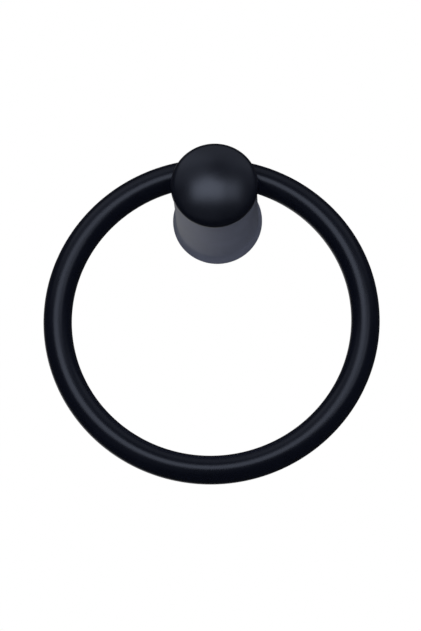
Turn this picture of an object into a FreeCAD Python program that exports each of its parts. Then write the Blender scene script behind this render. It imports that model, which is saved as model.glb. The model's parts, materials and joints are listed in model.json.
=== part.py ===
import FreeCAD, Part
import math
import os

# Ring pull for a drawer or cupboard door, in millimetres.
# Origin: centre of the post's back face, which lies on the door.
# +Y points into the door, -Y out into the room, +Z up. The ring hangs plumb.

# Post: a turned barrel on a foot that flares towards the door.
barrel_radius = 7.6
foot_radius = 8.3
foot_edge = 0.5
foot_round = 0.15
flare_length = 3.2
shoulder_reach = 21.3

# Spigot on the front of the post, and the head that is pressed on it.
spigot_radius = 4.5
spigot_length = 2.0
spigot_chamfer = 0.3
socket_clearance = 0.02
socket_end_gap = 0.3
head_radius = 7.85
head_back_round = 0.25
head_band = 0.1
knuckle_radius = 1.8
crown_radius = 15.0

# Ring: round bar bent to a circle and closed inside the bore.
ring_radius = 27.45
wire_radius = 2.55

# Cross bore that carries the ring, close behind the shoulder and above the screw.
bore_wall = 1.0
bore_bearing = 6.0
ring_clearance = 0.2
mouth_flare = 2.0

# Blind hole for the door screw, drilled to the core of an M4 thread.
screw_core_radius = 1.65
screw_hole_depth = 10.0
screw_mouth_chamfer = 0.35
drill_point_angle = 118.0

# How far a cutter runs on past the face where it enters.
cutter_overrun = 1.0

# The bore is as tight as the bend of the ring allows: it clears the outside of the
# bend at the middle and the inside of the bend at the ends of its straight part.
ring_outer = ring_radius + wire_radius
ring_inner = ring_radius - wire_radius
bend_inner_reach = math.sqrt(ring_inner ** 2 - bore_bearing ** 2)
bore_radius = (ring_outer - bend_inner_reach) / 2 + ring_clearance
ring_drop = (ring_outer + bend_inner_reach) / 2

# The same wall is left in front of the bore and above it.
bore_reach = shoulder_reach - bore_wall - bore_radius
bore_height = barrel_radius - bore_wall - bore_radius

DOOR_CENTRE = FreeCAD.Vector(0, 0, 0)
INTO_DOOR = FreeCAD.Vector(0, 1, 0)
UP = FreeCAD.Vector(0, 0, 1)
BORE_CENTRE = FreeCAD.Vector(0, -bore_reach, bore_height)


def half_section(radius, reach):
    """A point of a turned profile: its radius, and how far it reaches out from the door."""
    return FreeCAD.Vector(radius, -reach, 0)


def line(start, end):
    return Part.LineSegment(start, end).toShape()


def polyline(points):
    return [line(a, b) for a, b in zip(points, points[1:])]


def arc(centre, radius, start, end):
    """An arc of a turned profile, in degrees: 0 points away from the axis, 90 out into the room."""
    turns = [math.radians(turn) for turn in (start, (start + end) / 2, end)]
    points = [centre + half_section(radius * math.cos(t), radius * math.sin(t)) for t in turns]
    return Part.Arc(*points).toShape()


def turned(edges):
    """A closed half profile, turned a full circle about the axis of the post."""
    return Part.Face(Part.Wire(edges)).revolve(DOOR_CENTRE, INTO_DOOR, 360)


def post_blank():
    """Foot edge, hollow flare, barrel, shoulder and spigot, as one turning."""
    rise = foot_radius - barrel_radius
    run = flare_length - foot_edge
    flare_radius = (rise ** 2 + run ** 2) / (2 * rise)
    flare_centre = half_section(barrel_radius + flare_radius, flare_length)
    flare_turn = math.degrees(math.asin(run / flare_radius))
    foot_round_centre = half_section(foot_radius - foot_round, foot_round)
    spigot_end = shoulder_reach + spigot_length
    return turned([
        arc(foot_round_centre, foot_round, -90, 0),
        line(half_section(foot_radius, foot_round), half_section(foot_radius, foot_edge)),
        arc(flare_centre, flare_radius, 180 + flare_turn, 180),
    ] + polyline([
        half_section(barrel_radius, flare_length),
        half_section(barrel_radius, shoulder_reach),
        half_section(spigot_radius, shoulder_reach),
        half_section(spigot_radius, spigot_end - spigot_chamfer),
        half_section(spigot_radius - spigot_chamfer, spigot_end),
        half_section(0, spigot_end),
        half_section(0, 0),
        half_section(foot_radius - foot_round, 0),
    ]))


def bore_cutter():
    """The cross bore: straight where it bears on the ring, with a trumpet mouth at each end."""
    mouth_radius = bore_radius + mouth_flare
    mouth_end = bore_bearing + mouth_flare
    cutter_end = max(barrel_radius, mouth_end) + cutter_overrun
    cutter = turned([
        line(half_section(mouth_radius, -cutter_end), half_section(mouth_radius, -mouth_end)),
        arc(half_section(mouth_radius, -bore_bearing), mouth_flare, 270, 180),
        line(half_section(bore_radius, -bore_bearing), half_section(bore_radius, bore_bearing)),
        arc(half_section(mouth_radius, bore_bearing), mouth_flare, 180, 90),
    ] + polyline([
        half_section(mouth_radius, mouth_end),
        half_section(mouth_radius, cutter_end),
        half_section(0, cutter_end),
        half_section(0, -cutter_end),
        half_section(mouth_radius, -cutter_end),
    ]))
    cutter.rotate(DOOR_CENTRE, UP, 90)
    cutter.translate(BORE_CENTRE)
    return cutter


def screw_hole_cutter():
    """A drilled blind hole with the drill's pointed end and a chamfered mouth."""
    point_length = screw_core_radius / math.tan(math.radians(drill_point_angle / 2))
    entry_radius = screw_core_radius + screw_mouth_chamfer + cutter_overrun
    return turned(polyline([
        half_section(0, -cutter_overrun),
        half_section(entry_radius, -cutter_overrun),
        half_section(screw_core_radius, screw_mouth_chamfer),
        half_section(screw_core_radius, screw_hole_depth),
        half_section(0, screw_hole_depth + point_length),
        half_section(0, -cutter_overrun),
    ]))


def make_post():
    return post_blank().cut(bore_cutter()).cut(screw_hole_cutter())


def make_head():
    """A shallow crown that turns over a knuckle into a thin band, with a socket in its back."""
    band_back = shoulder_reach + head_back_round
    band_front = band_back + head_band
    back_edge_radius = head_radius - head_back_round
    knuckle_centre = half_section(head_radius - knuckle_radius, band_front)
    crown_slope = math.asin((head_radius - knuckle_radius) / (crown_radius - knuckle_radius))
    crown_base = band_front - (crown_radius - knuckle_radius) * math.cos(crown_slope)
    crown_start = 90 - math.degrees(crown_slope)
    socket_radius = spigot_radius + socket_clearance
    socket_end = shoulder_reach + spigot_length + socket_end_gap
    return turned([
        arc(half_section(back_edge_radius, band_back), head_back_round, -90, 0),
        line(half_section(head_radius, band_back), half_section(head_radius, band_front)),
        arc(knuckle_centre, knuckle_radius, 0, crown_start),
        arc(half_section(0, crown_base), crown_radius, crown_start, 90),
    ] + polyline([
        half_section(0, crown_base + crown_radius),
        half_section(0, socket_end),
        half_section(socket_radius, socket_end),
        half_section(socket_radius, shoulder_reach),
        half_section(back_edge_radius, shoulder_reach),
    ]))


def make_ring():
    ring_centre = BORE_CENTRE - FreeCAD.Vector(0, 0, ring_drop)
    return Part.makeTorus(ring_radius, wire_radius, ring_centre, INTO_DOOR)


os.makedirs("parts", exist_ok=True)
for name, make in (("post", make_post), ("domed_head", make_head), ("ring", make_ring)):
    solid = make()
    solid.exportStep("parts/" + name + ".step")
    box = solid.BoundBox
    print(name, "valid", solid.isValid(), "solids", len(solid.Solids), "volume", round(solid.Volume, 1),
          "box", [round(v, 2) for v in (box.XMin, box.YMin, box.ZMin, box.XMax, box.YMax, box.ZMax)])
print("bore radius", round(bore_radius, 4), "reach", round(bore_reach, 4), "height", round(bore_height, 4),
      "ring drop", round(ring_drop, 4))
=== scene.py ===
import json
import math

import bmesh
import bpy
from mathutils import Matrix, Vector


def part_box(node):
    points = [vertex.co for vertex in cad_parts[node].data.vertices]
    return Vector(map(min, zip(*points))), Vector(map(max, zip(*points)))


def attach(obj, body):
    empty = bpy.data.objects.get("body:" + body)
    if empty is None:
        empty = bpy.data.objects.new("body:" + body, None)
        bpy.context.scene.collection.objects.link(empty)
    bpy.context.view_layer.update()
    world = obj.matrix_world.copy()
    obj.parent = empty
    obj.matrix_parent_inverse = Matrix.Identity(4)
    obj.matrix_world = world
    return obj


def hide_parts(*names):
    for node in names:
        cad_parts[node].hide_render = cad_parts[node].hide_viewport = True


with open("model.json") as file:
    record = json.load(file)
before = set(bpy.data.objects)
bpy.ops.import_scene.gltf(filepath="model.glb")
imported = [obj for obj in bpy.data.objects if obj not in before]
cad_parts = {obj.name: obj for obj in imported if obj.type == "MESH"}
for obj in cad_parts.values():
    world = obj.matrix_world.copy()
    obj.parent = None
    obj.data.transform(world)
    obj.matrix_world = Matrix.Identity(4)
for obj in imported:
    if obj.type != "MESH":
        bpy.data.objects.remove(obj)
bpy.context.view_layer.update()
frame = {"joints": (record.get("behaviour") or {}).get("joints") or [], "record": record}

# The post: a brass or zinc turning, a barrel on a foot that flares out to stand on the door.
# It is drilled across for the ring and tapped from the back for the door screw,
# and it is sprayed satin before the head goes on its spigot.
# Its charcoal is partly its own dark paint and partly painted reflection of the pale door, which makes it
# lighter than the head and ring.

post_low, post_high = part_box("post")
foot_radius = post_high.x
foot_edge = 0.0005
foot_round = 0.00015
flare_length = 0.0032
barrel_radius = 0.0076
spigot_radius = 0.0045
spigot_length = 0.002
spigot_chamfer = 0.0003
shoulder_reach = -post_low.y - spigot_length

# The bore runs along the hinge of the ring, and leaves this much wall behind the shoulder.
bore_wall = 0.001
bore_centre = Vector(frame["joints"][0]["pos_m"])
bore_radius = shoulder_reach + bore_centre.y - bore_wall
bore_bearing = 0.006
mouth_flare = 0.002
cutter_overrun = 0.001

screw_hole = frame["record"]["mounts"][0]["dims"]
core_radius = screw_hole["r_mm"] / 1000
hole_depth = screw_hole["length_mm"] / 1000
hole_chamfer = 0.00035
drill_point_angle = math.radians(118)
thread_pitch = 0.0007
thread_depth = 0.00035
crest_share = 0.25
steps_per_pitch = 10

# The post's dark satin colour, lightened past the black of the head and ring by painted reflection of the
# pale door.
charcoal_with_door_reflection = (0.088, 0.098, 0.141)


def arc(centre, radius, start, end, steps=10):
    """Points of an arc in a half section, each a radius and a reach; 0 degrees points off the axis."""
    angles = [math.radians(start + (end - start) * i / steps) for i in range(steps + 1)]
    return [(centre[0] + radius * math.cos(a), centre[1] + radius * math.sin(a)) for a in angles]


def turning(name, outline, steps=256, closed=False, shift=None):
    """A lathe mesh about the Y axis, from points of radius and reach; reach runs out into the room, to -Y.

    A closed outline joins its last point to its first. A shift moves each point by its angle.
    """
    mesh = bmesh.new()
    loops = []
    for radius, reach in outline:
        if radius == 0:
            loops.append([mesh.verts.new((0, -reach, 0))] * steps)
            continue
        loop = []
        for step in range(steps):
            angle = math.tau * step / steps
            out, along = shift(radius, reach, angle) if shift else (radius, reach)
            loop.append(mesh.verts.new((out * math.cos(angle), -along, out * math.sin(angle))))
        loops.append(loop)
    pairs = list(zip(loops, loops[1:]))
    if closed:
        pairs.append((loops[-1], loops[0]))
    for first, second in pairs:
        for step in range(steps):
            after = (step + 1) % steps
            # On the axis two of the corners are one point, and the face has three sides.
            corners = dict.fromkeys((first[step], first[after], second[after], second[step]))
            mesh.faces.new(list(corners))
    bmesh.ops.recalc_face_normals(mesh, faces=mesh.faces)
    return finished(name, mesh)


def finished(name, mesh):
    """Makes an object of a mesh, shaded smooth except at its real corners."""
    data = bpy.data.meshes.new(name)
    mesh.to_mesh(data)
    mesh.free()
    smooth(data)
    piece = bpy.data.objects.new(name, data)
    bpy.context.scene.collection.objects.link(piece)
    return piece


def smooth(data, corner=math.radians(35)):
    """Shades a mesh smooth, but keeps the edges sharp where it turns by more than a corner."""
    data.shade_smooth()
    data.set_sharp_from_angle(angle=corner)


def tapped(radius, reach, angle):
    """Winds the grooves of the thread into the wall of the screw hole."""
    on_wall = math.isclose(radius, core_radius) and hole_chamfer < reach < hole_depth
    if not on_wall:
        return radius, reach
    middle = 0.5
    turn = (reach / thread_pitch - angle / math.tau) % 1
    half_groove = (1 - crest_share) / 2
    groove = max(0, 1 - abs(turn - middle) / half_groove)
    runout = min(1, (hole_depth - reach) / thread_pitch)
    return radius + thread_depth * groove * runout, reach


def post_outline():
    """Half section of the post, from the bottom of the screw hole round to the end of the spigot."""
    wall_steps = round(hole_depth / thread_pitch * steps_per_pitch)
    wall_step = (hole_depth - hole_chamfer) / wall_steps
    drill_point = core_radius / math.tan(drill_point_angle / 2)
    rise = foot_radius - barrel_radius
    run = flare_length - foot_edge
    flare_radius = (rise ** 2 + run ** 2) / (2 * rise)
    flare_turn = math.degrees(math.asin(run / flare_radius))
    spigot_end = shoulder_reach + spigot_length
    return (
        [(0, hole_depth + drill_point)]
        + [(core_radius, hole_depth - wall_step * i) for i in range(wall_steps + 1)]
        + [(core_radius + hole_chamfer, 0)]
        + arc((foot_radius - foot_round, foot_round), foot_round, -90, 0, steps=4)
        + arc((barrel_radius + flare_radius, flare_length), flare_radius, 180 + flare_turn, 180)
        + [(barrel_radius, shoulder_reach), (spigot_radius, shoulder_reach)]
        + [(spigot_radius, spigot_end - spigot_chamfer), (spigot_radius - spigot_chamfer, spigot_end)]
        + [(0, spigot_end)]
    )


def bore_cutter():
    """The cross bore, with a trumpet mouth at each end, as a closed turning laid along X."""
    mouth_radius = bore_radius + mouth_flare
    cutter_end = bore_bearing + mouth_flare + cutter_overrun
    mouth = arc((mouth_radius, bore_bearing), mouth_flare, 180, 90, steps=16)
    half = mouth + [(mouth_radius, cutter_end), (0, cutter_end)]
    other_half = [(radius, -reach) for radius, reach in reversed(half)]
    cutter = turning("bore_cutter", other_half + half)
    cutter.data.transform(Matrix.Translation(bore_centre) @ Matrix.Rotation(math.pi / 2, 4, "Z"))
    return cutter


def cut(piece, cutter):
    """Cuts one closed mesh out of another, and leaves the result in the piece."""
    knife = piece.modifiers.new("cut", "BOOLEAN")
    knife.operation = "DIFFERENCE"
    knife.solver = "EXACT"
    knife.object = cutter
    graph = bpy.context.evaluated_depsgraph_get()
    piece.data = bpy.data.meshes.new_from_object(piece.evaluated_get(graph))
    piece.modifiers.remove(knife)
    bpy.data.objects.remove(cutter)
    smooth(piece.data)


class Value:
    """A shader value that takes part in plain arithmetic; each sum or product adds its own node."""

    def __init__(self, nodes, socket):
        self.nodes = nodes
        self.socket = socket

    def maths(self, operation, first, second):
        return self.nodes.add("ShaderNodeMath", {"operation": operation}, {0: first, 1: second})

    def __add__(self, other):
        return self.maths("ADD", self, other)

    def __sub__(self, other):
        return self.maths("SUBTRACT", self, other)

    def __rsub__(self, other):
        return self.maths("SUBTRACT", other, self)

    def __mul__(self, other):
        return self.maths("MULTIPLY", self, other)

    __radd__ = __add__
    __rmul__ = __mul__


class Nodes:
    """The nodes of a material or of the world, all added by one method."""

    def __init__(self, owner, main):
        owner.use_nodes = True
        self.tree = owner.node_tree
        self.main = self.tree.nodes[main]

    def add(self, kind, settings=None, values=None, output=0):
        """Adds a node, sets it up, gives its sockets values or links, and returns one of its outputs."""
        node = self.tree.nodes.new(kind)
        for name, value in (settings or {}).items():
            setattr(node, name, value)
        for name, value in (values or {}).items():
            self.fill(node.inputs[name], value)
        return Value(self, node.outputs[output])

    def fill(self, socket, value):
        """Links a socket to a shader value, or gives it a plain one."""
        if isinstance(value, Value):
            self.tree.links.new(value.socket, socket)
        else:
            socket.default_value = value

    def finish(self, values):
        """Gives the main shader's sockets their values or links."""
        for name, value in values.items():
            self.fill(self.main.inputs[name], value)


def satin_paint(name, colour, roughness, shine, shine_tint):
    """Sprayed and baked satin paint: a fine grain over the slow ripple that it dries with."""
    cloud_scale = 220
    ripple_scale = 900
    grain_scale = 6000
    noise_detail = 2
    colour_spread = 0.2
    cloud_roughness = 0.04
    grain_roughness = 0.02
    grain_height = 0.1
    relief_strength = 0.02
    relief_depth = 0.0002
    middle = 0.5

    paint = bpy.data.materials.new(name)
    nodes = Nodes(paint, "Principled BSDF")
    place = nodes.add("ShaderNodeTexCoord", output="Object")
    cloud, ripple, grain = (
        nodes.add("ShaderNodeTexNoise", values={"Vector": place, "Scale": scale, "Detail": noise_detail})
        for scale in (cloud_scale, ripple_scale, grain_scale))
    darker, lighter = (
        [part * share for part in colour] + [1] for share in (1 - colour_spread, 1 + colour_spread))
    shade = nodes.add(
        "ShaderNodeMix", {"data_type": "RGBA"}, {"Factor": cloud, "A": darker, "B": lighter}, "Result")
    relief = nodes.add("ShaderNodeBump", values={
        "Height": ripple + grain * grain_height, "Strength": relief_strength, "Distance": relief_depth})
    nodes.finish({
        "Base Color": shade,
        "Roughness": roughness + (cloud - middle) * cloud_roughness + (grain - middle) * grain_roughness,
        "Normal": relief,
        "Specular IOR Level": shine,
        "Specular Tint": shine_tint,
    })
    return paint


post = turning("turned_post", post_outline(), shift=tapped)
cut(post, bore_cutter())
# The post's paint carries the painted reflection of the door in its lighter charcoal.
charcoal_paint_with_door_reflection = satin_paint(
    "charcoal_paint_with_door_reflection", charcoal_with_door_reflection, roughness=0.45, shine=0.4, shine_tint=(0.72, 0.78, 1, 1))
post.data.materials.append(charcoal_paint_with_door_reflection)
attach(post, "post")
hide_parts("post")

# The head: a shallow turned dome that rolls over a round knuckle to a thin edge.
# Its socket is pressed over the spigot until its back meets the post's shoulder.
# It is sprayed satin black, and dries to a brighter gloss than the ring.

_, head_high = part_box("domed_head")
head_radius = head_high.x
head_back_round = 0.00025
head_band = 0.0001
knuckle_radius = 0.0018
crown_radius = 0.015
socket_clearance = 0.00002
socket_end_gap = 0.0003

black = (0.0014, 0.0022, 0.007)
cool_shine = (0.7, 0.78, 1, 1)


def head_outline():
    """Half section of the head, from the end of its socket round to the middle of the crown."""
    socket_radius = spigot_radius + socket_clearance
    socket_end = shoulder_reach + spigot_length + socket_end_gap
    band_back = shoulder_reach + head_back_round
    band_front = band_back + head_band
    crown_slope = math.asin((head_radius - knuckle_radius) / (crown_radius - knuckle_radius))
    crown_base = band_front - (crown_radius - knuckle_radius) * math.cos(crown_slope)
    crown_start = 90 - math.degrees(crown_slope)
    crown = arc((0, crown_base), crown_radius, crown_start, 90, steps=40)
    return (
        [(0, socket_end), (socket_radius, socket_end), (socket_radius, shoulder_reach)]
        + arc((head_radius - head_back_round, band_back), head_back_round, -90, 0, steps=5)
        + arc((head_radius - knuckle_radius, band_front), knuckle_radius, 0, crown_start, steps=14)
        + crown[1:-1]
        + [(0, crown_base + crown_radius)]
    )


head = turning("head_dome", head_outline())
head.data.materials.append(
    satin_paint("head_paint", black, roughness=0.3, shine=1.0, shine_tint=cool_shine))
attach(head, "post")
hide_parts("domed_head")

# The ring: round bar bent to a circle through the post's bore and closed there.
# Its butt joint never leaves the bore, so that the bar looks endless, and it is sprayed satin black.

ring_low, ring_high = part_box("ring")
wire_radius = (ring_high.y - ring_low.y) / 2
ring_radius = (ring_high.x - ring_low.x) / 2 - wire_radius
ring_centre = (ring_low + ring_high) / 2
ring_steps = 384
bar_steps = 40
joint_angle = math.pi / 2
joint_depth = 0.00008


def butt_joint(radius, reach, angle):
    """Draws the bar in by a hair where its two ends meet, at the top of the ring."""
    at_joint = abs(angle - joint_angle) < math.tau / ring_steps / 2
    share = 1 - joint_depth / wire_radius if at_joint else 1
    return ring_radius + (radius - ring_radius) * share, reach * share


bar_section = arc((ring_radius, 0), wire_radius, 0, 360, steps=bar_steps)[:-1]
ring = turning("round_bar_ring", bar_section, steps=ring_steps, closed=True, shift=butt_joint)
ring.data.transform(Matrix.Translation(ring_centre))
ring.data.materials.append(
    satin_paint("ring_paint", black, roughness=0.28, shine=0.56, shine_tint=cool_shine))
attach(ring, "ring")
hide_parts("ring")

# The room: a pale floor well below the pull, and a white surround that the camera sees.
# The pull mirrors a dim room, and a white card on the door's side that lifts the grey of the post.
# It is held by its own mount, so there is no door.

floor_height = -0.32
floor_reach = 3
floor_roughness = 0.8
pale = (0.9, 0.9, 0.9, 1)
white = (1, 1, 1, 1)

# The brightness of the room for plain light, and of the room and the card as the paint mirrors them.
room_level = 0.7
room_shine = 0.025
card_shine = 0.58

# The card's middle lies this way, and its two limits are cosines of the angle to it.
card_way = Vector((-0.3, 0.95, 0)).normalized()
card_edge = 0.86
card_middle = 0.98

floor_mesh = bmesh.new()
bmesh.ops.create_grid(floor_mesh, size=floor_reach)
floor = finished("floor", floor_mesh)
floor.location.z = floor_height
floor.visible_glossy = False
floor_paint = bpy.data.materials.new("floor_paint")
Nodes(floor_paint, "Principled BSDF").finish({"Base Color": pale, "Roughness": floor_roughness})
floor.data.materials.append(floor_paint)

surround = bpy.data.worlds.new("white_surround")
bpy.context.scene.world = surround
sky = Nodes(surround, "Background")
camera_ray = sky.add("ShaderNodeLightPath", output="Is Camera Ray")
glossy_ray = sky.add("ShaderNodeLightPath", output="Is Glossy Ray")
clear_ray = sky.add("ShaderNodeLightPath", output="Is Transmission Ray")
way = sky.add("ShaderNodeTexCoord", output="Generated")
nearness = sky.add("ShaderNodeVectorMath", {"operation": "DOT_PRODUCT"}, {0: way, 1: card_way}, "Value")
shine = sky.add("ShaderNodeMapRange", values={
    "Value": nearness, "From Min": card_edge, "From Max": card_middle,
    "To Min": room_shine, "To Max": card_shine})
seen = camera_ray + clear_ray
sky.finish({
    "Color": white,
    "Strength": seen + glossy_ray * shine + (1 - seen - glossy_ray) * room_level,
})

# The lights: a large soft box in front of the pull, a little to its left, with weaker ones round it.
# Each faces the pull, and its strength is the brightness of its own face.

light_distance = 0.7
lit_place = Vector((0, -0.018, -0.02))


def direction(azimuth, elevation):
    """Unit vector out from the pull: azimuth 0 leads straight out from the door, 90 to the right."""
    turn = math.radians(azimuth)
    rise = math.radians(elevation)
    return Vector((math.sin(turn) * math.cos(rise), -math.cos(turn) * math.cos(rise), math.sin(rise)))


def soft_box(name, azimuth, elevation, width, height, strength):
    """Hangs a soft box of that width and height so that it faces the pull, unseen by the camera."""
    lamp = bpy.data.lights.new(name, "AREA")
    lamp.shape = "RECTANGLE"
    lamp.size = width
    lamp.size_y = height
    lamp.energy = strength * width * height * math.pi
    holder = bpy.data.objects.new(name, lamp)
    outward = direction(azimuth, elevation)
    holder.location = lit_place + outward * light_distance
    holder.rotation_euler = outward.to_track_quat("Z", "Y").to_euler()
    holder.visible_camera = False
    bpy.context.scene.collection.objects.link(holder)


soft_box("front_box", azimuth=-9, elevation=5.5, width=0.56, height=0.32, strength=1.5)
soft_box("upper_box", azimuth=-10, elevation=20, width=0.2, height=0.09, strength=1.1)
soft_box("right_box", azimuth=25, elevation=6.5, width=0.22, height=0.3, strength=0.85)
soft_box("left_wing", azimuth=-42, elevation=38, width=0.65, height=0.51, strength=0.18)
soft_box("right_wing", azimuth=46, elevation=34, width=0.61, height=0.38, strength=0.1)
soft_box("overhead", azimuth=0, elevation=68, width=1.5, height=0.5, strength=0.23)
soft_box("low_fill", azimuth=-30, elevation=-35, width=0.9, height=0.31, strength=0.04)

# The camera: below the pull and a little to its right, looking up at it through a long lens.
# It is rolled slightly, as the photograph is.

camera_distance = 0.5
camera_aim = Vector((-0.000175, -0.017, -0.022833))
camera_way = direction(azimuth=2.113, elevation=-15.247)
camera_roll = math.radians(1.719)

lens = bpy.data.cameras.new("camera")
lens.lens = 159.8
lens.sensor_width = 36
lens.clip_start = 0.01
camera = bpy.data.objects.new("camera", lens)
camera.location = camera_aim + camera_way * camera_distance
upright = camera_way.to_track_quat("Z", "Y").to_matrix()
camera.rotation_euler = (upright @ Matrix.Rotation(camera_roll, 3, "Z")).to_euler()
bpy.context.scene.collection.objects.link(camera)
bpy.context.scene.camera = camera
bpy.context.scene.view_settings.view_transform = "Standard"
